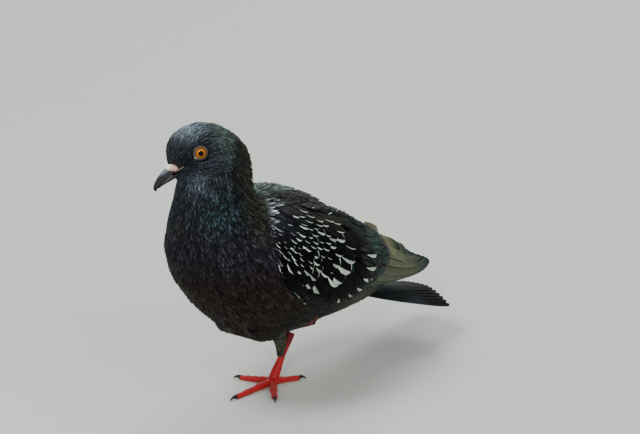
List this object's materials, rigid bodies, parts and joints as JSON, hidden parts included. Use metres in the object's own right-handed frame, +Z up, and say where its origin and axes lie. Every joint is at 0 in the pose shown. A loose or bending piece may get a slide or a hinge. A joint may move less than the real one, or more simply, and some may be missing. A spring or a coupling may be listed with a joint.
{
  "type": "pigeon",
  "caption": "Feral pigeon standing on its right leg, the left foot drawn up into the belly feathers, wings folded, and the head turned to its right with the bill lowered.",
  "frame": {"origin": "on the floor, under the middle of the whole bird", "axes": "+Z up, -Y the way the breast faces, +X to the bird's left"},
  "size_m": [0.1002, 0.244, 0.193],
  "materials": {
    "head_feathers": "slate blue-black feathers, soft",
    "neck_feathers": "near black feathers with a green gloss",
    "body_feathers": "brown-black feathers, soft",
    "wing_feathers": "black feathers with pale grey-green checks",
    "flight_feathers": "grey-green quills, smooth",
    "tail_feathers": "slate grey feathers with a black band",
    "horn": "dark horn, satin",
    "cere": "pale pink skin, powdery",
    "eye_ring": "bare grey-buff skin",
    "iris": "wet, clear orange",
    "scales": "crimson scaled skin, satin",
    "claw": "black horn, satin"
  },
  "bodies": {
    "root": {"bill_lower": "horn", "bill_upper": "horn", "cere_left": "cere", "cere_right": "cere", "claw_left_1": "claw", "claw_left_2": "claw", "claw_left_3": "claw", "claw_left_4": "claw", "claw_right_1": "claw", "claw_right_2": "claw", "claw_right_3": "claw", "claw_right_4": "claw", "eye_left": "iris", "eye_right": "iris", "head": "head_feathers", "lid_left": "eye_ring", "lid_right": "eye_ring", "neck": "neck_feathers", "primaries_left": "flight_feathers", "primaries_right": "flight_feathers", "tail": "tail_feathers", "tarsus_left": "scales", "tarsus_right": "scales", "thigh_left": "body_feathers", "thigh_right": "body_feathers", "toe_left_1": "scales", "toe_left_2": "scales", "toe_left_3": "scales", "toe_left_4": "scales", "toe_right_1": "scales", "toe_right_2": "scales", "toe_right_3": "scales", "toe_right_4": "scales", "trunk": "body_feathers", "wing_left": "wing_feathers", "wing_right": "wing_feathers"}
  },
  "joints": []
}
